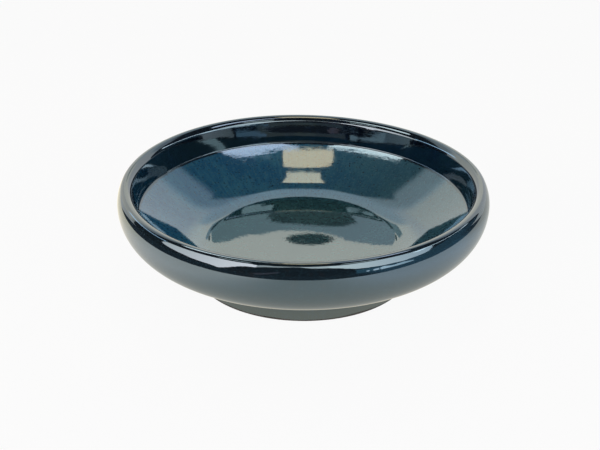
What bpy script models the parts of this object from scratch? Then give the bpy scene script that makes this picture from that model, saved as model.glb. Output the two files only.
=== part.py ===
# Deep coupe plate in glazed stoneware: a turned dish with a rolled rim, a foot ring joined under it,
# and a coat of glaze inside, outside and under the foot.
# Sizes are metres, +Z is up, and the origin is on the table at the centre of the foot.

import math

import bmesh
import bpy

# The outside of the glazed plate
PLATE_HEIGHT = 0.0594  # table to the crest of the lip
BELLY_RADIUS = 0.1100  # widest part of the plate
BELLY_DROP = 0.0102  # crest down to the widest part
BELLY_ROUND = 0.0276  # curve of the wall below the widest part
LIP_INSET = 0.0047  # widest part in to the crest
LIP_OUTER_ROUND = 0.0027  # outer half of the lip
LIP_INNER_ROUND = 0.0045  # inner half of the lip

# The inside of the glazed plate
FLOOR_RADIUS = 0.0544  # dished floor
FLOOR_SAG = 0.0017  # rise of the floor from its centre to its edge
FLOOR_THICKNESS = 0.0070  # clay under the centre of the floor
COVE_ROUND = 0.0480  # floor into slope
SLOPE_ROUND = 0.2200  # the slope's own gentle curve
SHOULDER_INSET = 0.0130  # widest part in to the top of the slope
SHOULDER_DROP = 0.0180  # crest down to the top of the slope
SHOULDER_ROUND = 0.0040  # slope into inner rim wall

# The foot ring
FOOT_RADIUS = 0.0665  # over the glaze
FOOT_HEIGHT = 0.0110  # table to the underside of the dish
FOOT_WIDTH = 0.0075  # clay, from its outer wall to its inner one
FOOT_COVE = 0.0025  # foot wall into the underside of the dish
FOOT_EDGE_ROUND = 0.0012  # edges of the standing face
RECESS_COVE = 0.0025  # inner foot wall into the glazed base

# The glaze
GLAZE_THICKNESS = 0.0006
GLAZE_LAP = 0.0078  # crest down to the inside line where the two coats meet
GLAZE_STOP = 0.0020  # bare clay left above the table

# How the pieces meet, and how finely they are turned
JOINT_GAP = 0.0003
SEGMENTS = 48
ARC_STEP = math.radians(14)
SMOOTH_ANGLE = math.radians(35)
WELD_DISTANCE = 1e-6

# Colours are linear red, green, blue and alpha
CLAY_COLOUR = (0.30, 0.25, 0.20, 1.0)
FOOT_COLOUR = (0.25, 0.21, 0.17, 1.0)
INSIDE_COLOUR = (0.018, 0.055, 0.080, 1.0)
OUTSIDE_COLOUR = (0.014, 0.035, 0.055, 1.0)
BASE_COLOUR = (0.016, 0.045, 0.065, 1.0)
CLAY_ROUGHNESS = 0.85
GLAZE_ROUGHNESS = 0.06

# Worked out from the sizes above
CLAY_DEPTH = GLAZE_THICKNESS + JOINT_GAP
CREST_RADIUS = BELLY_RADIUS - LIP_INSET
BELLY_HEIGHT = PLATE_HEIGHT - BELLY_DROP
FLOOR_HEIGHT = FOOT_HEIGHT + FLOOR_THICKNESS + CLAY_DEPTH
FLOOR_CURVE = (FLOOR_RADIUS**2 + FLOOR_SAG**2) / (2 * FLOOR_SAG)
SHOULDER = (BELLY_RADIUS - SHOULDER_INSET, PLATE_HEIGHT - SHOULDER_DROP)
FOOT_CORNER = (FOOT_RADIUS, FOOT_HEIGHT)
FOOT_OUTER_RADIUS = FOOT_RADIUS - CLAY_DEPTH
FOOT_INNER_RADIUS = FOOT_OUTER_RADIUS - FOOT_WIDTH
HALF_LAP_GAP = JOINT_GAP / 2

UP = math.radians(90)
DOWN = -UP
INWARD = math.radians(180)


# A section is a list of (radius, height, heading). The heading is the way the line runs, as an angle
# from straight outwards, and the open air is always on its left.
def point_on(centre, bend, heading):
    """The point of a curve where it runs along heading. A left-hand bend is a positive radius."""
    return (centre[0] + bend * math.sin(heading), centre[1] - bend * math.cos(heading))


def curve(centre, bend, start, end):
    steps = max(2, math.ceil(abs(end - start) / ARC_STEP))
    headings = [start + (end - start) * step / steps for step in range(steps + 1)]
    return [(*point_on(centre, bend, heading), heading) for heading in headings]


def tangent_heading(start_centre, start_bend, end_centre, end_bend):
    """The heading of the straight line that leaves one curve and runs smoothly into the next."""
    across = end_centre[0] - start_centre[0]
    rise = end_centre[1] - start_centre[1]
    turn = math.asin((start_bend - end_bend) / math.hypot(across, rise))
    return math.atan2(rise, across) + turn


def rounded_corner(corner, radius, start, end):
    """The left-hand curve that rounds the corner between two straight runs."""
    middle = (start + end) / 2
    reach = -radius / math.cos((end - start) / 2)
    return curve(point_on(corner, reach, middle), radius, start, end)


def below(section, depth):
    """The line that lies this deep under a section."""
    return [(r + depth * math.sin(h), z - depth * math.cos(h)) for r, z, h in section]


def on_run(start, end, height):
    """The point of the straight run between two points of a section that lies at this height."""
    share = (height - start[1]) / (end[1] - start[1])
    return (start[0] + share * (end[0] - start[0]), height, start[2])


def cut_at_height(line, height):
    """A line that ends below this height, in two: down to where it last crosses it, and on from there."""
    last = max(index for index, (r, z) in enumerate(line) if z > height)
    (r1, z1), (r2, z2) = line[last : last + 2]
    crossing = (r1 + (r2 - r1) * (z1 - height) / (z1 - z2), height)
    return [*line[: last + 1], crossing], [crossing, *line[last + 1 :]]


def widest_cove(edge):
    """The round of the one curve from the floor's edge to the shoulder, which leaves no room for a slope."""
    across = SHOULDER[0] - edge[0]
    rise = SHOULDER[1] - edge[1]
    return (across**2 + rise**2) / (2 * (rise * math.cos(edge[2]) - across * math.sin(edge[2])))


def slope_curve(cove_centre, cove_round):
    """The slope: a wide curve that leaves the cove smoothly and ends at the shoulder."""
    across = SHOULDER[0] - cove_centre[0]
    rise = SHOULDER[1] - cove_centre[1]
    wider = SLOPE_ROUND - cove_round
    offset = (SLOPE_ROUND**2 - across**2 - rise**2 - wider**2) / (2 * wider)
    start = math.atan2(rise, across) + math.asin(offset / math.hypot(across, rise))
    centre = point_on(cove_centre, -wider, start)
    end = math.atan2(SHOULDER[0] - centre[0], centre[1] - SHOULDER[1])
    return curve(centre, SLOPE_ROUND, start, end)


# The two sections of the glazed dish meet on the inner rim wall
def dish_sections():
    floor_tilt = math.asin(FLOOR_RADIUS / FLOOR_CURVE)
    floor = curve((0, FLOOR_HEIGHT + FLOOR_CURVE), FLOOR_CURVE, 0, floor_tilt)
    cove_round = min(COVE_ROUND, widest_cove(floor[-1]) - SHOULDER_ROUND)
    cove_centre = point_on(floor[-1], -cove_round, floor_tilt)
    slope = slope_curve(cove_centre, cove_round)
    slope_top = slope[-1][2]
    shoulder_centre = point_on(SHOULDER, -SHOULDER_ROUND, slope_top)
    lip_inner = (CREST_RADIUS, PLATE_HEIGHT - LIP_INNER_ROUND)
    rim_wall = tangent_heading(shoulder_centre, SHOULDER_ROUND, lip_inner, -LIP_INNER_ROUND)
    inside = floor[:-1]
    inside += curve(cove_centre, cove_round, floor_tilt, slope[0][2])[:-1]
    inside += slope[:-1]
    inside += curve(shoulder_centre, SHOULDER_ROUND, slope_top, rim_wall)

    lip_drop = BELLY_DROP - LIP_OUTER_ROUND
    upper_round = (lip_drop**2 + LIP_INSET**2 - LIP_OUTER_ROUND**2) / (2 * (LIP_INSET - LIP_OUTER_ROUND))
    lip_end = math.atan2(lip_drop, upper_round - LIP_INSET) - UP
    lower_belly = (BELLY_RADIUS - BELLY_ROUND, BELLY_HEIGHT)
    underside = tangent_heading(lower_belly, -BELLY_ROUND, FOOT_CORNER, 0)
    outside = curve(lip_inner, -LIP_INNER_ROUND, rim_wall, 0)[:-1]
    outside += curve((CREST_RADIUS, PLATE_HEIGHT - LIP_OUTER_ROUND), -LIP_OUTER_ROUND, 0, lip_end)[:-1]
    outside += curve((BELLY_RADIUS - upper_round, BELLY_HEIGHT), -upper_round, lip_end, DOWN)[:-1]
    outside += curve(lower_belly, -BELLY_ROUND, DOWN, underside)
    outside += rounded_corner(FOOT_CORNER, FOOT_COVE, underside, DOWN)
    outside.append((FOOT_RADIUS, GLAZE_STOP, DOWN))

    lap_height = PLATE_HEIGHT - GLAZE_LAP
    wall = (inside[-1], outside[0])
    inside.append(on_run(*wall, lap_height - HALF_LAP_GAP))
    outside.insert(0, on_run(*wall, lap_height + HALF_LAP_GAP))
    return inside, outside


def recess_section():
    """The glazed recess inside the foot ring, from the bottom of its wall in to the centre."""
    radius = FOOT_INNER_RADIUS - CLAY_DEPTH
    ceiling = FOOT_HEIGHT - CLAY_DEPTH
    section = [(radius, GLAZE_STOP, UP)]
    section += rounded_corner((radius, ceiling), RECESS_COVE, UP, INWARD)
    section.append((0, ceiling, INWARD))
    return section


# The outlines of the separate pieces
def coat_outline(section):
    return below(section, 0) + below(section, GLAZE_THICKNESS)[::-1]


def dish_outline(inside, outside):
    """The clay under both coats, cut off flat where the foot ring and the base begin."""
    wall = below(inside, CLAY_DEPTH) + below(outside, CLAY_DEPTH)
    upper, _ = cut_at_height(wall, FOOT_HEIGHT)
    return [*upper, (0, FOOT_HEIGHT)]


def foot_outline(outside):
    """The clay ring, from its top outer corner down, under its standing face and up again."""
    top = FOOT_HEIGHT - JOINT_GAP
    _, lower = cut_at_height(below(outside, CLAY_DEPTH), top)
    outer_edge = (FOOT_OUTER_RADIUS - FOOT_EDGE_ROUND, FOOT_EDGE_ROUND)
    inner_edge = (FOOT_INNER_RADIUS + FOOT_EDGE_ROUND, FOOT_EDGE_ROUND)
    edges = curve(outer_edge, -FOOT_EDGE_ROUND, DOWN, -INWARD)
    edges += curve(inner_edge, -FOOT_EDGE_ROUND, INWARD, UP)
    return [*lower[:-1], *below(edges, 0), (FOOT_INNER_RADIUS, top)]


def principled(name, colour, roughness):
    material = bpy.data.materials.new(name)
    material.use_nodes = True
    shader = material.node_tree.nodes["Principled BSDF"]
    shader.inputs["Base Color"].default_value = colour
    shader.inputs["Roughness"].default_value = roughness
    shader.inputs["Metallic"].default_value = 0.0
    material.diffuse_color = colour
    return material


def turned(name, outline, material):
    """Turns an outline about the plate's axis into one closed solid."""
    shape = bmesh.new()
    points = [shape.verts.new((r, 0, z)) for r, z in outline]
    links = [shape.edges.new(pair) for pair in zip(points, points[1:])]
    if outline[0][0] > 0:
        links.append(shape.edges.new((points[-1], points[0])))
    bmesh.ops.spin(
        shape, geom=points + links, cent=(0, 0, 0), axis=(0, 0, 1), angle=2 * math.pi, steps=SEGMENTS
    )
    bmesh.ops.remove_doubles(shape, verts=shape.verts[:], dist=WELD_DISTANCE)
    bmesh.ops.recalc_face_normals(shape, faces=shape.faces[:])
    mesh = bpy.data.meshes.new(name)
    shape.to_mesh(mesh)
    shape.free()
    mesh.materials.append(material)
    mesh.shade_smooth()
    mesh.set_sharp_from_angle(angle=SMOOTH_ANGLE)
    piece = bpy.data.objects.new(name, mesh)
    bpy.context.scene.collection.objects.link(piece)
    return piece


def main():
    for old in list(bpy.data.objects):
        bpy.data.objects.remove(old, do_unlink=True)
    inside, outside = dish_sections()
    clay = principled("stoneware", CLAY_COLOUR, CLAY_ROUGHNESS)
    bare_foot = principled("bare_foot_clay", FOOT_COLOUR, CLAY_ROUGHNESS)
    inner_coat = principled("inside_glaze", INSIDE_COLOUR, GLAZE_ROUGHNESS)
    outer_coat = principled("outside_glaze", OUTSIDE_COLOUR, GLAZE_ROUGHNESS)
    base_coat = principled("base_glaze", BASE_COLOUR, GLAZE_ROUGHNESS)
    turned("stoneware_dish", dish_outline(inside, outside), clay)
    turned("foot_ring", foot_outline(outside), bare_foot)
    turned("inside_glaze", coat_outline(inside), inner_coat)
    turned("outside_glaze", coat_outline(outside), outer_coat)
    turned("base_glaze", coat_outline(recess_section()), base_coat)


main()
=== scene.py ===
import math

import bpy
import numpy as np
from mathutils import Matrix, Vector


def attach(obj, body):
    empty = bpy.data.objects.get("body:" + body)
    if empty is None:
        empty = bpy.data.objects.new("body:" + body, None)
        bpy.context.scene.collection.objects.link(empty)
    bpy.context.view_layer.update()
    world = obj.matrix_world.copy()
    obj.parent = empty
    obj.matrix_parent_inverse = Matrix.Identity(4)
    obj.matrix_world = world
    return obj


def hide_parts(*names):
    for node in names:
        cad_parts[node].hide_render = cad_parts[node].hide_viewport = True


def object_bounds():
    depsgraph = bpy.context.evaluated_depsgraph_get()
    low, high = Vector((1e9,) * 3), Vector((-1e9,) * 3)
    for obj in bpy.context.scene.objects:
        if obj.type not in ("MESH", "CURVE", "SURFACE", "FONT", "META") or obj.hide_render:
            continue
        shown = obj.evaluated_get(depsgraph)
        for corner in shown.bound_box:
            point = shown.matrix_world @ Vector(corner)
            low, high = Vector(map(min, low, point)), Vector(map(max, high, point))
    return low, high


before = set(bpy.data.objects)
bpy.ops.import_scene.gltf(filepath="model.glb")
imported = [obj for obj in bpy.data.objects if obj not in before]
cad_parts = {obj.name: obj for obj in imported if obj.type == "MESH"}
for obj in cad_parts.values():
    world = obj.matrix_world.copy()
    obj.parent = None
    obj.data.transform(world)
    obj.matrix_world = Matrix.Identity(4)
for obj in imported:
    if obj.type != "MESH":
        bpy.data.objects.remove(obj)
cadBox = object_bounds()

# Deep coupe plate: a thrown stoneware dish on a foot ring, in a dark reactive glaze.

plate = {  # the section of the glazed plate, metres
    "height": cadBox[1].z,
    "belly": cadBox[1].x,  # widest radius
    "bellyDrop": 0.0102,
    "bellyRound": 0.0276,
    "lipInset": 0.0047,
    "lipOuter": 0.0027,
    "lipInner": 0.0045,
    "floorRadius": 0.0544,
    "floorSag": 0.0017,
    "floorHeight": 0.0189,
    "cove": 0.0480,
    "slope": 0.2200,
    "shoulderInset": 0.01224,
    "shoulderDrop": 0.01742,
    "shoulder": 0.0015,
    "footRadius": 0.0665,
    "footHeight": 0.0110,
    "footWidth": 0.0075,
    "footCove": 0.0025,
    "footEdge": 0.0012,
    "recessCove": 0.0025,
    "coat": 0.0006,
    "clayGap": 0.0003,
    "lapDrop": 0.0078,  # crest down to the line where the two coats meet
    "bareFoot": 0.0020,  # clay left bare above the table
}
turning = {
    "steps": 360,
    "run": 0.0008,  # longest step along a section
    "turn": math.radians(3),  # widest turn between two steps
    "hidden": 4,  # the hidden side of a coat keeps one step in so many
    "sharp": math.radians(35),
    "fine": 3600,  # steps that find the rim's highest point
    "axis": 1e-9,  # a smaller radius lies on the axis
}
thrown = {  # what the wheel and the kiln leave: (amount, lobes, turned to)
    "rimSag": [(0.000466, 2, math.radians(-40)), (0.000116, 3, math.radians(8))],
    "sagPower": 1.5,
    "sagReach": (0.040, 0.075),  # the floor stays flat
    # shallow waves in the face: (depth, wavelength along the section, lobes round the plate, start)
    "waves": [
        (0.000050, 0.038, 2, 0.4),
        (0.000020, 0.021, -3, 2.1),
        (0.000006, 0.011, 5, 4.0),
        (0.000003, 0.006, 1, 1.0),
    ],
    "calmFloor": (0.052, 0.075),  # the waves fade in between these radii
    "wallRoll": 0.00004,  # how far the rim wall swells at its middle
    "backLean": 0.000065,  # how far it leans away at the back
    "backReach": math.radians(16),
    "backEdge": 6,  # how sharply the lean begins
    "wallSpan": (0.0440, 0.0570),
    "glazeLine": [(0.00020, 5, 0.3), (0.00014, 9, 1.7), (0.00009, 16, 0.9)],
    "glazeLineReach": 0.006,
}
upward, downward, inward = math.pi / 2, -math.pi / 2, math.pi


# A point of a curve that runs along heading h: centre + bend (sin h, -cos h). A left bend is positive.
def pointOn(centre, bend, heading):
    return centre[0] + bend * math.sin(heading), centre[1] - bend * math.cos(heading)


# A curve as rows of radius, height and heading, with the heading in even steps.
def curve(centre, bend, start, end):
    swing = abs(end - start)
    count = max(2, math.ceil(max(swing * abs(bend) / turning["run"], swing / turning["turn"])))
    heading = np.linspace(start, end, count + 1)
    r = centre[0] + bend * np.sin(heading)
    return np.column_stack([r, centre[1] - bend * np.cos(heading), heading])


# A straight run between two points, in even steps.
def run(start, end):
    heading = math.atan2(end[1] - start[1], end[0] - start[0])
    count = max(1, math.ceil(math.dist(start[:2], end[:2]) / turning["run"]))
    share = np.linspace(0, 1, count + 1)[:, None]
    points = (1 - share) * np.array(start[:2]) + share * np.array(end[:2])
    return np.column_stack([points, np.full(count + 1, heading)])


# Rows joined end to end, each without its last point but the last one.
def joined(*parts):
    return np.vstack([part[:-1] for part in parts[:-1]] + [parts[-1]])


# Heading of the straight line between two curves: that of their centres, plus asin of the change in bend.
def tangentHeading(startCentre, startBend, endCentre, endBend):
    across, rise = endCentre[0] - startCentre[0], endCentre[1] - startCentre[1]
    return math.atan2(rise, across) + math.asin((startBend - endBend) / math.hypot(across, rise))


# The left-hand curve that rounds the corner between two straight runs.
def roundedCorner(corner, radius, start, end):
    reach = -radius / math.cos((end - start) / 2)
    return curve(pointOn(corner, reach, (start + end) / 2), radius, start, end)


# The floor, cove, slope, shoulder and rim wall, up to the lap, and from there over the lip to the foot.
def plateSections():
    p = plate
    crest = p["belly"] - p["lipInset"]
    shoulderAt = (p["belly"] - p["shoulderInset"], p["height"] - p["shoulderDrop"])
    floorBend = (p["floorRadius"] ** 2 + p["floorSag"] ** 2) / (2 * p["floorSag"])
    floorTilt = math.asin(p["floorRadius"] / floorBend)
    floor = curve((0, p["floorHeight"] + floorBend), floorBend, 0, floorTilt)
    coveCentre = pointOn(floor[-1], -p["cove"], floorTilt)
    # the slope leaves the cove smoothly and passes through the shoulder point
    across, rise = shoulderAt[0] - coveCentre[0], shoulderAt[1] - coveCentre[1]
    wider = p["slope"] - p["cove"]
    offset = (p["slope"] ** 2 - across**2 - rise**2 - wider**2) / (2 * wider)
    slopeStart = math.atan2(rise, across) + math.asin(offset / math.hypot(across, rise))
    slopeCentre = pointOn(coveCentre, -wider, slopeStart)
    slopeEnd = math.atan2(shoulderAt[0] - slopeCentre[0], slopeCentre[1] - shoulderAt[1])
    shoulderCentre = pointOn(shoulderAt, -p["shoulder"], slopeEnd)
    lipCentre = (crest, p["height"] - p["lipInner"])
    wall = tangentHeading(shoulderCentre, p["shoulder"], lipCentre, -p["lipInner"])
    shoulder = curve(shoulderCentre, p["shoulder"], slopeEnd, wall)
    lipInner = curve(lipCentre, -p["lipInner"], wall, 0)
    lapHeight = p["height"] - p["lapDrop"]
    share = (lapHeight - shoulder[-1, 1]) / (lipInner[0, 1] - shoulder[-1, 1])
    lap = shoulder[-1, :2] + share * (lipInner[0, :2] - shoulder[-1, :2])
    inside = joined(
        floor,
        curve(coveCentre, p["cove"], floorTilt, slopeStart),
        curve(slopeCentre, p["slope"], slopeStart, slopeEnd),
        shoulder,
        run(shoulder[-1], lap),
    )

    bellyHeight = p["height"] - p["bellyDrop"]
    lipDrop = p["bellyDrop"] - p["lipOuter"]
    upper = (lipDrop**2 + p["lipInset"] ** 2 - p["lipOuter"] ** 2) / (2 * (p["lipInset"] - p["lipOuter"]))
    lipEnd = math.atan2(lipDrop, upper - p["lipInset"]) - upward
    lowerCentre = (p["belly"] - p["bellyRound"], bellyHeight)
    footCorner = (p["footRadius"], p["footHeight"])
    underside = tangentHeading(lowerCentre, -p["bellyRound"], footCorner, 0)
    lower = curve(lowerCentre, -p["bellyRound"], downward, underside)
    footCove = roundedCorner(footCorner, p["footCove"], underside, downward)
    outside = joined(
        run(lap, lipInner[0]),
        lipInner,
        curve((crest, p["height"] - p["lipOuter"]), -p["lipOuter"], 0, lipEnd),
        curve((p["belly"] - upper, bellyHeight), -upper, lipEnd, downward),
        lower,
        run(lower[-1], footCove[0]),
        footCove,
        run(footCove[-1], (p["footRadius"], p["bareFoot"])),
    )
    return inside, outside


# The recess inside the foot ring, from the bottom of its wall in to the centre.
def recessSection():
    p = plate
    depth = p["coat"] + p["clayGap"]
    corner = (p["footRadius"] - p["footWidth"] - 2 * depth, p["footHeight"] - depth)
    bend = roundedCorner(corner, p["recessCove"], upward, inward)
    return joined(run((corner[0], p["bareFoot"]), bend[0]), bend, run(bend[-1], (0, corner[1])))


# The line that lies this deep under a section, along its normal (-sin h, cos h).
def under(section, depth):
    r = section[:, 0] + depth * np.sin(section[:, 2])
    return np.column_stack([r, section[:, 1] - depth * np.cos(section[:, 2]), section[:, 2]])


# One step in a few of a section, with both of its ends.
def coarser(section):
    return section[np.unique(np.append(np.arange(0, len(section), turning["hidden"]), len(section) - 1))]


# A coat's outline: its shown face, then its hidden face back again. The last column marks the shown face.
def coatOutline(section):
    hidden = coarser(under(section, plate["coat"]))[::-1]
    shown = np.column_stack([section, np.ones(len(section))])
    return np.vstack([shown, np.column_stack([hidden, np.zeros(len(hidden))])])


# A line cut where it last crosses a height: the part before, and the part from there on.
def cutAt(line, height):
    last = np.nonzero(line[:, 1] > height)[0][-1]
    a, b = line[last], line[last + 1]
    crossing = a + (b - a) * (a[1] - height) / (a[1] - b[1])
    crossing[1] = height
    return np.vstack([line[: last + 1], crossing]), np.vstack([crossing, line[last + 1 :]])


# A sum of lobes round the plate: amount x cos(count x (angle - turned to)).
def lobes(angle, terms):
    return sum(amount * np.cos(count * (angle - turned)) for amount, count, turned in terms)


# A smooth step: 3 s^2 - 2 s^3, where s goes from 0 at low to 1 at high.
def eased(value, low, high):
    share = np.clip((value - low) / (high - low), 0, 1)
    return share * share * (3 - 2 * share)


# A closed solid turned about the axis: x = r cos t, y = r sin t over the outline and the angle t. The rim
# sags by (z / height) to a power. The shown face moves along its normal by shallow waves, and up the rim
# wall by a half sine, with a whole sine more at the back. Rows on the axis close to one point each.
def turnedPiece(name, outline, finish, glazeEdge=False):
    steps = turning["steps"]
    angle = np.linspace(0, 2 * math.pi, steps, endpoint=False)[None, :]
    r, z, heading, shown = (outline[:, k][:, None] for k in range(4))
    strides = np.hypot(np.diff(outline[:, 0]), np.diff(outline[:, 1]))
    along = np.concatenate([[0], np.cumsum(strides)])[:, None]
    onAxis = outline[:, 0] < turning["axis"]
    waves = [
        depth / 2 * (np.cos(2 * math.pi * along / length + count * angle + start) - 1)
        for depth, length, count, start in thrown["waves"]
    ]
    low, high = thrown["wallSpan"]
    rise = np.clip((z - low) / (high - low), 0, 1)
    back = np.exp(-(((angle - math.pi / 2) / thrown["backReach"]) ** thrown["backEdge"]))
    swell = thrown["wallRoll"] * np.sin(math.pi * rise)
    swell = swell + thrown["backLean"] * back * np.sin(2 * math.pi * rise)
    push = shown * (sum(waves) * eased(r, *thrown["calmFloor"]) + swell * (heading > 0))
    radius = r - push * np.sin(heading)
    height = z + push * np.cos(heading)
    if glazeEdge:  # the glaze ends in a wavering line above the foot
        near = np.clip(1 - (z - plate["bareFoot"]) / thrown["glazeLineReach"], 0, 1)
        height = height + near * lobes(angle, thrown["glazeLine"])
    sag = lobes(angle, thrown["rimSag"])
    fine = np.linspace(0, 2 * math.pi, turning["fine"])
    share = (z / plate["height"]) ** thrown["sagPower"] * eased(r, *thrown["sagReach"])
    height = height - (lobes(fine, thrown["rimSag"]).max() - sag) * share
    radius = np.broadcast_to(radius, height.shape)
    grid = np.stack([radius * np.cos(angle), radius * np.sin(angle), height], axis=-1)

    counts = np.where(onAxis, 1, steps)
    starts = np.concatenate([[0], np.cumsum(counts)[:-1]])
    column = np.arange(steps)
    ring = starts[:, None] + np.where(onAxis[:, None], 0, column[None, :])
    verts = grid[~onAxis[:, None] | (column[None, :] == 0)]
    if onAxis[0]:
        first, second = ring[:-1], ring[1:]
        poleFirst, poleSecond = onAxis[:-1], onAxis[1:]
    else:
        first, second = ring, np.roll(ring, -1, axis=0)
        poleFirst, poleSecond = onAxis, np.roll(onAxis, -1)
    quads = np.stack([first, second, np.roll(second, -1, 1), np.roll(first, -1, 1)], axis=-1)
    faces = quads[~poleFirst & ~poleSecond].reshape(-1, 4).tolist()
    faces += quads[poleFirst & ~poleSecond][..., [0, 1, 2]].reshape(-1, 3).tolist()
    faces += quads[~poleFirst & poleSecond][..., [0, 1, 3]].reshape(-1, 3).tolist()

    mesh = bpy.data.meshes.new(name)
    mesh.from_pydata(verts.tolist(), [], faces)
    mesh.materials.append(finish)
    mesh.shade_smooth()
    mesh.set_sharp_from_angle(angle=turning["sharp"])
    piece = bpy.data.objects.new(name, mesh)
    bpy.context.scene.collection.objects.link(piece)
    print(name, len(verts), "points", len(faces), "faces")
    return piece


# A socket's value. Each operator adds one Math node to the finish that it belongs to.
class Wire:
    def __init__(self, finish, socket):
        self.finish, self.socket = finish, socket

    def maths(self, operation, first, second=0.0):
        return self.finish.add(
            "ShaderNodeMath", {"operation": operation}, {"Value": first, "Value_001": second}
        )

    def __add__(self, other):
        return self.maths("ADD", self, other)

    def __sub__(self, other):
        return self.maths("SUBTRACT", self, other)

    def __rsub__(self, other):
        return self.maths("SUBTRACT", other, self)

    def __mul__(self, other):
        return self.maths("MULTIPLY", self, other)

    def __truediv__(self, other):
        return self.maths("DIVIDE", self, other)

    def __rtruediv__(self, other):
        return self.maths("DIVIDE", other, self)

    def __pow__(self, other):
        return self.maths("POWER", self, other)

    def __abs__(self):
        return self.maths("ABSOLUTE", self)

    def most(self, other):
        return self.maths("MAXIMUM", self, other)

    __radd__ = __add__
    __rmul__ = __mul__

    def out(self, name):
        return Wire(self.finish, self.socket.node.outputs[name])


# A node tree under construction. add() makes any node: its type, its settings, then its sockets.
class Finish:
    def __init__(self, tree):
        self.tree = tree
        tree.nodes.clear()

    def add(self, kind, settings=None, sockets=None, out=0):
        node = self.tree.nodes.new(kind)
        for name, value in (settings or {}).items():
            setattr(node, name, value)
        for name, value in (sockets or {}).items():
            socket = next(s for s in node.inputs if name in (s.identifier, s.name))
            if isinstance(value, Wire):
                self.tree.links.new(value.socket, socket)
            elif isinstance(value, tuple) and len(value) < len(socket.default_value):
                socket.default_value = (*value, 1.0)
            else:
                socket.default_value = value
        return Wire(self, node.outputs[out]) if node.outputs else None

    def mix(self, share, first, second):
        sockets = {"Factor_Float": share, "A_Color": first, "B_Color": second}
        return self.add("ShaderNodeMix", {"data_type": "RGBA"}, sockets, out=2)

    def ease(self, value, low, high):
        sockets = {"Value": value, "From Min": low, "From Max": high}
        return self.add("ShaderNodeMapRange", {"interpolation_type": "SMOOTHSTEP"}, sockets)

    def noise(self, place, scale, detail=2.0, rough=0.5):
        sockets = {"Vector": place, "Scale": scale, "Detail": detail, "Roughness": rough}
        return self.add("ShaderNodeTexNoise", {}, sockets)

    def vector(self, x, y, z):
        return self.add("ShaderNodeCombineXYZ", {}, {"X": x, "Y": y, "Z": z})


# An empty material and the node tree to fill.
def newFinish(name):
    material = bpy.data.materials.new(name)
    material.use_nodes = True
    return material, Finish(material.node_tree)


# Place on the piece, its three parts, and its distance from the axis: the root of x^2 + y^2.
def placeOn(f):
    place = f.add("ShaderNodeTexCoord", {}, {}, out="Object")
    x = f.add("ShaderNodeSeparateXYZ", {}, {"Vector": place}, out="X")
    y, z = x.out("Y"), x.out("Z")
    reach = (x * x + y * y + 1e-9) ** 0.5
    return place, x, y, z, reach


glaze = {
    "slopeDeep": (0.011, 0.098, 0.206),
    "slopePale": (0.042, 0.188, 0.282),
    "slopeGreen": (0.043, 0.112, 0.128),
    "floor": (0.026, 0.083, 0.096),
    "floorPale": (0.039, 0.113, 0.118),
    "rim": (0.0015, 0.0030, 0.0070),
    "rimBlue": (0.0040, 0.0100, 0.0240),
    "belly": (0.0040, 0.0095, 0.0135),
    "bellyBlue": (0.0060, 0.0180, 0.0300),
    "bellyBrown": (0.0140, 0.0100, 0.0085),
    "fleck": (0.065, 0.165, 0.205),
    "ior": 2.3,
    "tint": (0.75, 0.93, 1.0),  # of what it reflects
    "roughLow": 0.035,
    "roughHigh": 0.065,
    "roughFloor": 0.45,  # share of it that is left on the floor
    "speckScale": 850.0,
    "mottleScale": 260.0,
    "cloudScale": 42.0,
    "pitScale": 680.0,
    "peelScale": 420.0,
    "flow": (55, 75, 40),  # how fine the runs are round the axis, outwards and upwards
    "rings": (5, 620, 420),
    "ringDepth": 0.000022,
    "ringShare": (0.10, 0.20),  # on the floor, and what the slope adds
    "peelDepth": 0.000007,
    "peelShare": (0.4, 0.6),
    # radii where one part gives way to the next, metres
    "floorEdge": (0.055, 0.069),
    "fleckEdge": (0.057, 0.070),
    "calmEdge": (0.056, 0.075),
    "smoothEdge": (0.054, 0.062),
    "rimLine": (0.0966, 0.0978),
    "lipLine": (0.1045, 0.1075),
    # places across the plate where a colour comes in, metres
    "greenSide": (-0.010, 0.115),
    "blueSide": (-0.03, 0.09),
    "brownSide": (0.02, 0.06),
    # levels of the noise where a colour starts and is full
    "rimTone": (0.48, 0.66),
    "slopeTone": (0.74, 1.26),
    "floorTone": (0.42, 0.62),
    "fleckTone": (0.54, 0.68),
    "pitTone": (0.60, 0.72),
    "bellyTone": (0.55, 0.85),
    "brownTone": (0.52, 0.66),
    "outerFleckTone": (0.60, 0.72),
    "roughTone": (0.40, 0.62),
    # how far a colour takes over at most
    "greenShare": 0.75,
    "pitShare": 0.6,
    "brownShare": 0.8,
    "outerFleckShare": 0.18,
    "baseFleckShare": 0.2,
}


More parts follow.
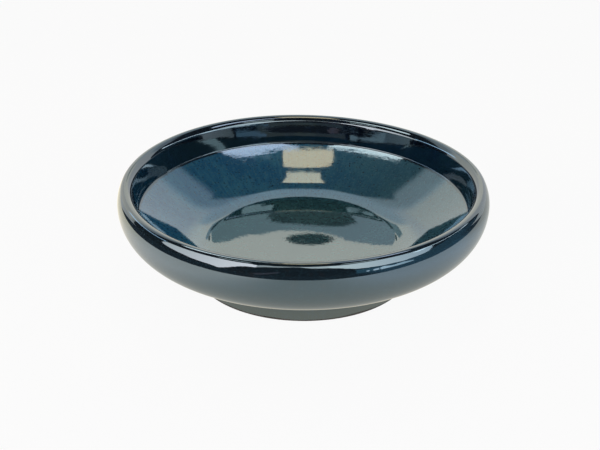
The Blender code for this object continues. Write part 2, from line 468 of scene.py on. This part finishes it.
# Glaze: cloudy mottling with fine specks and radial runs, over a colour that changes by zone of the plate;
# faint throwing rings and orange peel in the surface.
def glazeFinish(name, zone):
    g = glaze
    material, f = newFinish(name)
    place, x, y, z, reach = placeOn(f)
    ux, uy = x / reach, y / reach
    speck = f.noise(place, g["speckScale"], 1.5, 0.6)
    mottle = f.noise(place, g["mottleScale"], 3.0, 0.55)
    cloud = f.noise(place, g["cloudScale"], 3.0, 0.55)
    around, outward, upwards = g["flow"]
    flow = f.noise(f.vector(ux * around, uy * around, reach * outward + z * upwards), 1.0, 2.5, 0.6)
    around, outward, upwards = g["rings"]
    rings = f.noise(f.vector(ux * around, uy * around, reach * outward + z * upwards), 1.0, 2.0, 0.6)
    slopeOnly = f.ease(reach, *g["calmEdge"])
    low, more = g["peelShare"]
    peel = f.noise(place, g["peelScale"], 1.0, 0.5) * (low + more * slopeOnly)
    low, more = g["ringShare"]
    rings = rings * (low + more * slopeOnly)

    rim = f.mix(f.ease(mottle * 0.5 + flow * 0.5, *g["rimTone"]), g["rim"], g["rimBlue"])
    if zone == "inside":
        tone = f.ease(cloud * 0.9 + flow * 0.7 + mottle * 0.4, *g["slopeTone"])
        slope = f.mix(tone, g["slopeDeep"], g["slopePale"])
        green = f.ease(x + cloud * 0.06, *g["greenSide"])
        slope = f.mix(green * g["greenShare"], slope, g["slopeGreen"])
        floor = f.mix(f.ease(cloud * 0.5 + mottle * 0.5, *g["floorTone"]), g["floor"], g["floorPale"])
        colour = f.mix(f.ease(reach + mottle * 0.006, *g["floorEdge"]), floor, slope)
        flecks = f.ease(speck, *g["fleckTone"]) * (0.45 + 0.6 * flow) * f.ease(reach, *g["fleckEdge"])
        colour = f.mix(flecks, colour, g["fleck"])
        pits = f.ease(f.noise(place, g["pitScale"], 1.0, 0.5), *g["pitTone"]) * g["pitShare"]
        colour = f.mix(pits, colour, g["rim"])
        colour = f.mix(f.ease(reach + (mottle - 0.5) * 0.0012, *g["rimLine"]), colour, rim)
    elif zone == "outside":
        tone = f.ease(cloud * 0.8 + flow * 0.5, *g["bellyTone"])
        belly = f.mix(tone * f.ease(x, *g["blueSide"]), g["belly"], g["bellyBlue"])
        brown = f.ease(cloud * 0.6 + mottle * 0.4, *g["brownTone"]) * (1 - f.ease(abs(x), *g["brownSide"]))
        belly = f.mix(brown * g["brownShare"], belly, g["bellyBrown"])
        colour = f.mix(f.ease(reach, *g["lipLine"]), rim, belly)
        flecks = f.ease(speck, *g["outerFleckTone"]) * g["outerFleckShare"]
        colour = f.mix(flecks, colour, g["fleck"])
    else:
        tone = f.ease(cloud * 0.6 + mottle * 0.4, *g["floorTone"])
        colour = f.mix(tone, g["belly"], g["slopeDeep"])
        flecks = f.ease(speck, *g["outerFleckTone"]) * g["baseFleckShare"]
        colour = f.mix(flecks, colour, g["fleck"])

    uneven = f.ease(mottle * 0.6 + speck * 0.4, *g["roughTone"])
    rough = g["roughLow"] + (g["roughHigh"] - g["roughLow"]) * uneven
    smooth = g["roughFloor"]
    rough = rough * (smooth + (1 - smooth) * f.ease(reach, *g["smoothEdge"]))
    ringed = f.add("ShaderNodeBump", {}, {"Strength": 1.0, "Distance": g["ringDepth"], "Height": rings})
    bumped = f.add(
        "ShaderNodeBump", {}, {"Strength": 1.0, "Distance": g["peelDepth"], "Height": peel, "Normal": ringed}
    )
    shader = f.add(
        "ShaderNodeBsdfPrincipled",
        {},
        {
            "Base Color": colour,
            "Roughness": rough,
            "IOR": g["ior"],
            "Specular Tint": g["tint"],
            "Normal": bumped,
        },
    )
    f.add("ShaderNodeOutputMaterial", {}, {"Surface": shader})
    return material


clay = {
    # the foot ring's bare clay: the body's clay painted about three times darker, as painted shade under the
    # plate
    "bare": (0.105, 0.092, 0.078),
    "bareDark": (0.050, 0.044, 0.038),
    "body": (0.30, 0.25, 0.20),
    "bodyDark": (0.20, 0.16, 0.125),
    "iron": (0.030, 0.020, 0.014),
    "cloudScale": 90.0,
    "grogScale": 1400.0,
    "grogDepth": 0.00012,
    "ironScale": 700.0,
    "ironTone": (0.68, 0.74),
    "paleTone": (0.38, 0.62),
    "rough": (0.72, 0.2),  # least, and what the grog adds
}


# Fired stoneware: a warm body with grog in its face and small iron specks.
def clayFinish(name, pale, dark):
    material, f = newFinish(name)
    place = f.add("ShaderNodeTexCoord", {}, {}, out="Object")
    cloud = f.noise(place, clay["cloudScale"], 3.0, 0.6)
    grog = f.noise(place, clay["grogScale"], 2.0, 0.6)
    iron = f.ease(f.noise(place, clay["ironScale"], 1.0, 0.5), *clay["ironTone"])
    colour = f.mix(f.ease(cloud * 0.6 + grog * 0.4, *clay["paleTone"]), dark, pale)
    colour = f.mix(iron, colour, clay["iron"])
    least, more = clay["rough"]
    rough = least + more * grog
    bump = f.add("ShaderNodeBump", {}, {"Strength": 1.0, "Distance": clay["grogDepth"], "Height": grog})
    shader = f.add(
        "ShaderNodeBsdfPrincipled", {}, {"Base Color": colour, "Roughness": rough, "Normal": bump}
    )
    f.add("ShaderNodeOutputMaterial", {}, {"Surface": shader})
    return material


# A finished piece takes the place of its solid and keeps its slot.
def addPiece(piece, node):
    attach(piece, "root")
    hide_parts(node)


# The three coats from the sections' shown faces, and the clay from the lines that lie under them.
def buildPlate():
    inside, outside = plateSections()
    recess = recessSection()
    depth = plate["coat"] + plate["clayGap"]
    hiddenWall = np.vstack([coarser(under(inside, depth)), coarser(under(outside, depth))])
    dishLine, _ = cutAt(hiddenWall, plate["footHeight"])
    dish = np.vstack([dishLine, [0, plate["footHeight"], inward]])
    ringTop = plate["footHeight"] - plate["clayGap"]
    _, footWall = cutAt(under(outside, depth), ringTop)
    outerRadius = plate["footRadius"] - depth
    innerRadius = outerRadius - plate["footWidth"]
    edge = plate["footEdge"]
    outerEdge = curve((outerRadius - edge, edge), -edge, downward, -inward)
    innerEdge = curve((innerRadius + edge, edge), -edge, inward, upward)
    standing = run(outerEdge[-1], innerEdge[0])
    innerWall = run(innerEdge[-1], (innerRadius, ringTop))
    foot = np.vstack([footWall[:-1], outerEdge, standing[1:-1], innerEdge, innerWall[1:]])
    base = coatOutline(recess)
    base = np.roll(base, len(base) - len(recess), axis=0)  # from the hidden centre round to the shown one

    def plain(line):
        return np.column_stack([line, np.zeros(len(line))])

    addPiece(
        turnedPiece("insideGlaze", coatOutline(inside), glazeFinish("insideGlaze", "inside")),
        "inside_glaze",
    )
    addPiece(
        turnedPiece("outsideGlaze", coatOutline(outside), glazeFinish("outsideGlaze", "outside"), True),
        "outside_glaze",
    )
    addPiece(
        turnedPiece("baseGlaze", base, glazeFinish("baseGlaze", "base"), True), "base_glaze"
    )
    addPiece(
        turnedPiece("stonewareDish", plain(dish), clayFinish("stoneware", clay["body"], clay["bodyDark"])),
        "stoneware_dish",
    )
    addPiece(
        # the bare foot clay carries painted shade: it is the body's clay, painted darker
        turnedPiece("footRing", plain(foot), clayFinish("bareFootClay", clay["bare"], clay["bareDark"])),
        "foot_ring",
    )
    print("plate built")


overheads = {  # cards that hang over the plate: (x, back edge, front edge), metres
    "rightBank": {
        "edge": [
            (0.014, 0.062, 0.060), (0.033, 0.065, 0.058), (0.056, 0.070, 0.045), (0.078, 0.079, 0.030),
            (0.106, 0.096, 0.020), (0.133, 0.115, 0.015), (0.157, 0.132, 0.015), (0.183, 0.148, 0.015),
            (0.230, 0.120, 0.020), (0.300, 0.060, 0.020),
        ],
        "glow": (2.6, 2.7, 3.3),
        "height": 0.5,
        "onlySeen": True,
    },
    "leftBank": {
        "edge": [
            (-0.350, 0.110, 0.060), (-0.300, 0.160, 0.040), (-0.224, 0.203, 0.030), (-0.207, 0.182, 0.025),
            (-0.174, 0.145, 0.020), (-0.138, 0.111, 0.020), (-0.102, 0.085, 0.030), (-0.065, 0.069, 0.058),
            (-0.049, 0.066, 0.062),
        ],
        "glow": (4.0, 4.1, 4.1),
        "height": 0.5,
        "onlySeen": True,
    },
    "warmCard": {
        "edge": [
            (-0.152, 0.110, 0.050), (-0.081, 0.112, 0.032), (-0.028, 0.107, 0.026), (0.026, 0.107, 0.028),
            (0.079, 0.112, 0.035), (0.120, 0.109, 0.045),
        ],
        "glow": (3.3, 2.4, 1.5),
        "height": 1.0,
        "onlySeen": False,
    },
    "warmTail": {
        "edge": [
            (-0.086, 0.389, 0.148), (-0.031, 0.392, 0.141), (0.025, 0.389, 0.137), (0.102, 0.363, 0.152),
        ],
        "glow": (2.9, 2.3, 1.6),
        "height": 1.0,
        "onlySeen": False,
    },
}


# A card from a grid of points, with a share from 0 to 1 at each. Only-seen cards show in reflections alone.
def card(name, grid, share, finish, onlySeen):
    rows, columns = grid.shape[:2]
    index = np.arange(rows * columns).reshape(rows, columns)
    quads = np.stack([index[:-1, :-1], index[1:, :-1], index[1:, 1:], index[:-1, 1:]], axis=-1)
    mesh = bpy.data.meshes.new(name)
    mesh.from_pydata(grid.reshape(-1, 3).tolist(), [], quads.reshape(-1, 4).tolist())
    mesh.attributes.new("share", "FLOAT", "POINT").data.foreach_set("value", share.reshape(-1))
    mesh.materials.append(finish)
    piece = bpy.data.objects.new(name, mesh)
    bpy.context.scene.collection.objects.link(piece)
    hidden = ["camera", "shadow", "transmission", "volume_scatter"] + ["diffuse"] * onlySeen
    for ray in hidden:
        setattr(piece, "visible_" + ray, False)


# Emission that goes from one radiance to another by a share kept on the card's points.
def cardFinish(name, start, end):
    material, f = newFinish(name)
    share = f.add("ShaderNodeAttribute", {"attribute_name": "share"}, {}, out="Fac")
    glow = f.add("ShaderNodeEmission", {}, {"Color": f.mix(share, start, end), "Strength": 1.0})
    f.add("ShaderNodeOutputMaterial", {}, {"Surface": glow})
    return material


# A level card between its front edge and its back edge.
def overhead(name, spec):
    x, back, front = np.array(spec["edge"]).T
    y = np.stack([front, back], axis=1)
    x = np.broadcast_to(x[:, None], y.shape)
    grid = np.stack([x, y, np.full(y.shape, spec["height"])], axis=-1)
    card(name, grid, np.zeros(y.shape), cardFinish(name, spec["glow"], spec["glow"]), spec["onlySeen"])


ribbons = {  # cards that stand round the plate: (turn from the front, lowest and highest lift), degrees
    "leftPanel": {
        "edge": [
            (-87, 9, 11), (-86, 7.5, 14), (-81, 6, 20), (-75, 5.5, 23), (-69, 4.5, 25.5), (-65, 3.5, 26.5),
            (-57, 3, 27.5), (-53, 2.5, 28.5), (-51, 1.5, 29), (-47, -0.5, 29), (-45, 1.5, 29),
            (-42, 6, 28.5), (-39, 11.5, 28), (-37, 14.5, 29), (-34, 18, 30), (-32, 19.5, 29.5),
            (-27, 20.5, 27),
        ],
        "start": (2.45, 2.35, 2.35),
        "end": (4.8, 4.2, 4.3),
    },
    "leftWing": {  # the far wall shows both wings by way of the near wall
        "edge": [(-130, 17, 24), (-118, 17, 23.2), (-112, 17, 22.8), (-101, 16, 21.9), (-86, 15, 20.6)],
        "start": (2.2, 2.8, 3.6),
        "end": (1.8, 2.6, 3.4),
        "onlySeen": True,
    },
    "frontLine": {
        "edge": [
            (-27, 20.5, 27), (-22, 24.5, 31), (-17, 26, 30), (-12, 28, 32), (-6, 30, 34), (-2, 30, 34),
            (4, 26, 34), (10, 25, 36), (15, 24, 35),
        ],
        "start": (1.7, 1.65, 1.65),
        "end": (2.7, 2.7, 2.7),
    },
    "rightPanel": {
        "edge": [
            (15, 24, 35), (20, 21.5, 32.5), (25, 17, 33), (30, 13, 36), (35, 11.5, 38), (40, 10.3, 37),
            (45, 8.7, 36), (51, 8.5, 35), (55, 7, 33), (58, 6.5, 31), (63, 7, 28), (66, 7, 25),
            (69, 6.5, 23), (71, 7, 21), (75, 8, 19), (77, 11, 18), (79, 14, 16),
        ],
        "start": (3.4, 3.4, 3.4),
        "end": (1.75, 2.0, 2.3),
    },
    "rightWing": {
        "edge": [
            (60, 16, 22), (76, 17, 22), (90, 18.5, 21.5), (104, 19, 21), (108, 19.5, 22.5), (117, 20, 24.5),
        ],
        "start": (3.8, 4.2, 4.6),
        "end": (4.6, 5.0, 5.4),
        "onlySeen": True,
    },
    "rightHigh": {  # both high cards light the far edge of the floor by way of the far wall
        "edge": [(29.5, 52.5, 58), (41, 51.7, 56.5), (58, 51.5, 56)],
        "start": (3.7, 4.0, 4.0),
        "end": (3.7, 4.0, 4.0),
        "onlySeen": True,
    },
    "leftHigh": {
        "edge": [(-66, 49.5, 53), (-54, 50, 53), (-41.5, 51, 55.5)],
        "start": (3.7, 4.0, 4.0),
        "end": (3.7, 4.0, 4.0),
        "onlySeen": True,
    },
    "rightHaze": {
        "edge": [
            (29, -2.2, 10), (50, -2.2, 8), (65, -2.2, 7), (80, -2.2, 9), (100, -2.2, 12), (120, -2.2, 6),
        ],
        "start": (0.13, 0.31, 0.45),
        "end": (0.05, 0.09, 0.13),
        "away": 1.6,
    },
    "rightLine": {
        "edge": [
            (42.6, -2, 4), (45, -2, 6), (48, -2, 3.5), (51, -2, 2.5), (57, -2.1, 4), (60, -2.1, 2),
            (63, -2.1, 0),
        ],
        "start": (2.35, 2.8, 3.2),
        "end": (1.2, 1.6, 1.9),
    },
    "rightDash": {
        "edge": [(38.3, -1.5, 3), (41.7, -1.5, 3.5)],
        "start": (2.2, 2.55, 2.9),
        "end": (2.2, 2.55, 2.9),
    },
    "shortDash": {
        "edge": [(34.8, -1.5, 2.5), (36.4, -1.5, 2.5)],
        "start": (1.85, 2.25, 2.6),
        "end": (1.85, 2.25, 2.6),
    },
    "redStreak": {
        "edge": [(-27, -4, 2), (-23, -3, 4), (-18, 3, 8), (-13, 9, 13)],
        "start": (0.21, 0.16, 0.19),
        "end": (0.21, 0.19, 0.24),
        "onlySeen": True,
    },
    "darkSurround": {
        "edge": [(turn, -3, 40) for turn in range(-115, 126, 10)],
        "start": (0.03, 0.035, 0.04),
        "end": (0.035, 0.045, 0.06),
        "away": 2.2,
        "onlySeen": True,
    },
}
ribbonAway = 1.5  # metres, where a ribbon says nothing else


# A ribbon: away x (sin turn cos lift, -cos turn cos lift, sin lift), from its lower edge to its upper edge.
def ribbon(name, spec):
    turn, low, high = np.radians(np.array(spec["edge"], float)).T
    lift = np.stack([low, high], axis=1)
    turn = np.broadcast_to(turn[:, None], lift.shape)
    away = spec.get("away", ribbonAway)
    flat = np.cos(lift)
    grid = away * np.stack([np.sin(turn) * flat, -np.cos(turn) * flat, np.sin(lift)], axis=-1)
    grid[..., 2] = np.maximum(grid[..., 2] + plate["height"], 2 * sheet["lift"])
    share = (turn - turn.min()) / (turn.max() - turn.min())
    card(name, grid, share, cardFinish(name, spec["start"], spec["end"]), spec.get("onlySeen", False))


backCards = {  # grey and dark cards far behind the plate: (x, low edge, high edge), metres
    "greyCard": {
        "edge": [
            (-0.245, 1.600, 1.860), (-0.190, 1.585, 1.860), (-0.150, 1.565, 1.860), (-0.128, 1.540, 1.860),
            (-0.105, 1.540, 1.860), (-0.093, 1.545, 1.860), (-0.078, 1.562, 1.860), (-0.067, 1.585, 1.860),
            (-0.059, 1.597, 1.860), (-0.044, 1.600, 1.860), (-0.035, 1.624, 1.860), (-0.024, 1.634, 1.860),
            (0.001, 1.635, 1.860), (0.016, 1.622, 1.860), (0.032, 1.603, 1.860), (0.041, 1.580, 1.860),
            (0.048, 1.557, 1.860), (0.056, 1.546, 1.860), (0.064, 1.537, 1.860), (0.083, 1.520, 1.860),
            (0.105, 1.513, 1.860), (0.126, 1.513, 1.860),
        ],
        "away": 3.05,
        "start": (0.37, 0.49, 0.53),
        "end": (0.49, 0.60, 0.68),
    },
    "squareFlag": {
        "edge": [
            (-0.0345, 1.705, 1.772), (-0.031, 1.678, 1.792), (-0.020, 1.668, 1.803), (0.000, 1.660, 1.804),
            (0.020, 1.646, 1.802), (0.040, 1.642, 1.792), (0.050, 1.662, 1.775), (0.0565, 1.685, 1.750),
        ],
        "away": 3.0,
        "start": (0.05, 0.055, 0.06),
        "end": (0.05, 0.055, 0.06),
    },
    "ovalFlag": {
        "edge": [
            (-0.0185, 1.535, 1.547), (-0.014, 1.512, 1.568), (-0.006, 1.499, 1.582), (0.008, 1.493, 1.589),
            (0.021, 1.499, 1.582), (0.029, 1.512, 1.568), (0.034, 1.533, 1.548),
        ],
        "away": 3.0,
        "start": (0.04, 0.045, 0.05),
        "end": (0.04, 0.045, 0.05),
    },
}
backBlend = (-0.1, 0.1)  # x where such a card's colour starts and ends


# A standing card between its low edge and its high edge.
def standingCard(name, spec):
    x, low, high = np.array(spec["edge"]).T
    z = np.stack([low, high], axis=1)
    x = np.broadcast_to(x[:, None], z.shape)
    grid = np.stack([x, np.full(z.shape, spec["away"]), z], axis=-1)
    card(name, grid, eased(x, *backBlend), cardFinish(name, spec["start"], spec["end"]), True)


sheet = {  # a painted reflection of the white sheet that the plate stands on, as a glowing card that reflections alone see, and of the dark beyond it
    "centre": (0.03, 0.05),
    "radius": 0.335,
    "inner": 0.0672,
    "lift": 0.0012,
    # the painted sheet is darker beside the foot and near the middle line, and lightest on the left
    "toe": (0.93, 0.86, 0.72),  # beside the foot
    "near": (0.77, 0.76, 0.69),
    "front": (0.77, 0.83, 0.83),
    "left": (1.48, 1.44, 1.40),
    "right": (1.00, 1.10, 1.22),
    "edgeLeft": (1.55, 1.42, 1.14),
    "edgeRight": (0.80, 0.80, 0.76),
    # where they change: shares of the way from foot to edge, and metres on the table
    "toeShare": (0.02, 0.08),
    "nearShare": (0.05, 0.45),
    "frontSpan": (0.02, 0.13),
    "sideSpan": (-0.20, 0.16),
    "backSpan": (-0.06, 0.10),
    "steps": (8, 96),  # outwards and round
    "far": 2.2,
    "reach": math.radians(112),
    "dark": (0.045, 0.060, 0.078),
    "darkRight": (0.09, 0.20, 0.30),
    "rightStart": (22, 34),  # degrees round from the front
    "rightEnd": (85, 105),
    "farSteps": (2, 48),
}


# A ring on the table between two lines at the same angles: points (1 - s) inner + s outer, s from 0 to 1.
def tableRing(inner, outer, steps):
    s = np.linspace(0, 1, steps + 1)[:, None, None]
    grid = (1 - s) * inner[None] + s * outer[None]
    return s[..., 0], np.concatenate([grid, np.full((*grid.shape[:2], 1), sheet["lift"])], axis=-1)


# Directions round the plate, out to this angle on both sides of the front.
def directions(reach, steps):
    angle = np.linspace(-reach, reach, steps + 1) - math.pi / 2
    return angle, np.column_stack([np.cos(angle), np.sin(angle)])


# Painted reflections, as cards that reflections alone see: the sheet from the foot out to its edge, and a
# dark card from there on.
def tableCards():
    outwards, rounds = sheet["steps"]
    _, unit = directions(math.pi, rounds)
    edge = np.array(sheet["centre"]) + sheet["radius"] * unit
    s, grid = tableRing(sheet["inner"] * unit, edge, outwards)
    material, f = newFinish("sheetReflectionCard")
    share = f.add("ShaderNodeAttribute", {"attribute_name": "share"}, {}, out="Fac")
    place = f.add("ShaderNodeTexCoord", {}, {}, out="Object")
    x = f.add("ShaderNodeSeparateXYZ", {}, {"Vector": place}, out="X")
    behind = f.ease(x.out("Y"), *sheet["backSpan"])
    left = f.mix(behind, sheet["left"], sheet["edgeLeft"])
    right = f.mix(behind, sheet["right"], sheet["edgeRight"])
    sides = f.mix(f.ease(x, *sheet["sideSpan"]), left, right)
    sides = f.mix(f.ease(abs(x), *sheet["frontSpan"]), sheet["front"], sides)
    colour = f.mix(f.ease(share, *sheet["nearShare"]), sheet["near"], sides)
    colour = f.mix(f.ease(share, *sheet["toeShare"]), sheet["toe"], colour)
    glow = f.add("ShaderNodeEmission", {}, {"Color": colour, "Strength": 1.0})
    f.add("ShaderNodeOutputMaterial", {}, {"Surface": glow})
    card("sheetReflectionCard", grid, np.broadcast_to(s, grid.shape[:2]).copy(), material, True)

    outwards, rounds = sheet["farSteps"]
    angle, unit = directions(sheet["reach"], rounds)
    edge = np.array(sheet["centre"]) + sheet["radius"] * unit
    _, grid = tableRing(edge, sheet["far"] * unit, outwards)
    turn = np.degrees(angle + math.pi / 2)
    share = eased(turn, *sheet["rightStart"]) * (1 - eased(turn, *sheet["rightEnd"]))
    share = np.broadcast_to(share, grid.shape[:2]).copy()
    card("darkReflectionCard", grid, share, cardFinish("darkReflectionCard", sheet["dark"], sheet["darkRight"]), True)


table = {"radius": 6.0, "steps": 96, "drop": 0.0001, "colour": (0.90, 0.90, 0.90), "glow": 0.93}


# The floor: a disc, r and angle on a grid. Most of what the camera and reflections see of it is plain white.
def tableTop():
    angle = np.linspace(0, 2 * math.pi, table["steps"], endpoint=False)
    rim = table["radius"] * np.column_stack([np.cos(angle), np.sin(angle), 0 * angle])
    verts = np.vstack([[[0, 0, 0]], rim]) - np.array([0, 0, table["drop"]])
    index = np.arange(table["steps"])
    faces = np.column_stack([0 * index, 1 + index, 1 + (index + 1) % table["steps"]])
    mesh = bpy.data.meshes.new("tableTop")
    mesh.from_pydata(verts.tolist(), [], faces.tolist())
    material, f = newFinish("tableTop")
    path = f.add("ShaderNodeLightPath", {}, {}, out="Is Camera Ray")
    seen = path.most(path.out("Is Glossy Ray")).most(path.out("Is Transmission Ray"))
    cloth = f.add("ShaderNodeBsdfDiffuse", {}, {"Color": table["colour"]})
    white = f.add("ShaderNodeEmission", {}, {"Color": (1.0, 1.0, 1.0), "Strength": 1.0})
    shaders = {"Fac": seen * table["glow"], "Shader": cloth, "Shader_001": white}
    shade = f.add("ShaderNodeMixShader", {}, shaders)
    f.add("ShaderNodeOutputMaterial", {}, {"Surface": shade})
    mesh.materials.append(material)
    piece = bpy.data.objects.new("tableTop", mesh)
    bpy.context.scene.collection.objects.link(piece)


room = {  # radiance of its parts
    "middle": (1.52, 1.43, 1.28),
    "sweep": (1.08, 1.06, 1.08),
    "sweepLeft": (1.30, 1.22, 1.11),
    "band": (0.80, 0.91, 1.00),
    "wing": (0.52, 0.58, 0.66),
    "wingLeft": (0.63, 0.67, 0.70),
    "dark": (0.030, 0.035, 0.040),
    "horizon": (1.0, 1.0, 1.0),
    # where they change, degrees: pitch runs from the back horizon over the top, side from the middle
    "middleSide": (8.0, 18.0),
    "middlePitch": (30.0, 40.0),
    "bandSide": (8.0, 16.0),
    "bandPitch": (30.5, 33.5),
    "widePitch": (38.0, 46.0),
    "wingSide": (6.0, 14.0),
    "wingPitch": (41.0, 48.0),
    "cutPitch": 56,  # the sweep ends here
    "notch": 6,  # and so much lower between these sides
    "notchStart": (4.0, 10.0),
    "notchEnd": (22.0, 28.0),
    "cutFade": (0.0, 6.0),
    "cutSide": (56.0, 68.0),
    "horizonLift": (6.0, 12.0),
    # and from left to right, as x of the direction
    "sweepTurn": (-0.40, -0.22),
    "wingTurn": (-0.1, 0.1),
}


# The room: a white sweep low down and behind, wings beside it, and darkness overhead for the softboxes.
def studioRoom():
    world = bpy.data.worlds.new("studioRoom")
    world.use_nodes = True
    bpy.context.scene.world = world
    f = Finish(world.node_tree)
    way = f.add("ShaderNodeTexCoord", {}, {}, out="Generated")
    x = f.add("ShaderNodeSeparateXYZ", {}, {"Vector": way}, out="X")
    y, z = x.out("Y"), x.out("Z")
    degrees = 180 / math.pi
    pitch = x.maths("ARCTAN2", z, y) * degrees
    lift = x.maths("ARCSINE", z) * degrees
    side = abs(x.maths("ARCSINE", x) * degrees)
    sweep = f.mix(f.ease(x, *room["sweepTurn"]), room["sweepLeft"], room["sweep"])
    middle = (1 - f.ease(side, *room["middleSide"])) * (1 - f.ease(pitch, *room["middlePitch"]))
    sweep = f.mix(middle, sweep, room["middle"])
    band = f.ease(pitch, *room["bandPitch"]) * (1 - f.ease(side, *room["bandSide"]))
    sweep = f.mix(band, sweep, room["band"])
    sweep = f.mix(f.ease(pitch, *room["widePitch"]), sweep, room["band"])
    wing = f.mix(f.ease(x, *room["wingTurn"]), room["wingLeft"], room["wing"])
    sweep = f.mix(f.ease(side, *room["wingSide"]) * f.ease(pitch, *room["wingPitch"]), sweep, wing)
    notch = f.ease(side, *room["notchStart"]) * (1 - f.ease(side, *room["notchEnd"]))
    cut = room["cutPitch"] - room["notch"] * notch
    behind = (1 - f.ease(pitch - cut, *room["cutFade"])) * (1 - f.ease(side, *room["cutSide"]))
    colour = f.mix(behind, room["dark"], sweep)
    around = (1 - f.ease(lift, *room["horizonLift"])) * (1 - behind)
    colour = f.mix(around, colour, room["horizon"])
    sky = f.add("ShaderNodeBackground", {}, {"Color": colour, "Strength": 1.0})
    f.add("ShaderNodeOutputWorld", {}, {"Surface": sky})


camera = {
    "at": (0.0, -0.692745, 0.369161),
    "aim": (-0.00192, 0.0, 0.02886),
    "roll": math.radians(0.266),
    "lens": 76.895,
    "sensor": 36.0,
    "clip": (0.01, 100.0),
}


# The camera of the photo: it looks from one point to another, rolled a little about its line of sight.
def photoCamera():
    data = bpy.data.cameras.new("photoCamera")
    data.lens = camera["lens"]
    data.sensor_width = camera["sensor"]
    data.clip_start, data.clip_end = camera["clip"]
    forward = (Vector(camera["aim"]) - Vector(camera["at"])).normalized()
    right = forward.cross(Vector((0, 0, 1))).normalized()
    up = right.cross(forward)
    tilt = camera["roll"]
    rolledRight = right * math.cos(tilt) + up * math.sin(tilt)
    rolledUp = up * math.cos(tilt) - right * math.sin(tilt)
    holder = bpy.data.objects.new("photoCamera", data)
    turn = Matrix((rolledRight, rolledUp, -forward)).transposed().to_4x4()
    holder.matrix_world = Matrix.Translation(camera["at"]) @ turn
    bpy.context.scene.collection.objects.link(holder)
    bpy.context.scene.camera = holder


photoCamera()
buildPlate()
tableTop()
for name, spec in overheads.items():
    overhead(name, spec)
for name, spec in ribbons.items():
    ribbon(name, spec)
for name, spec in backCards.items():
    standingCard(name, spec)
tableCards()
studioRoom()
bpy.context.scene.view_settings.view_transform = "Standard"
print("studio set")
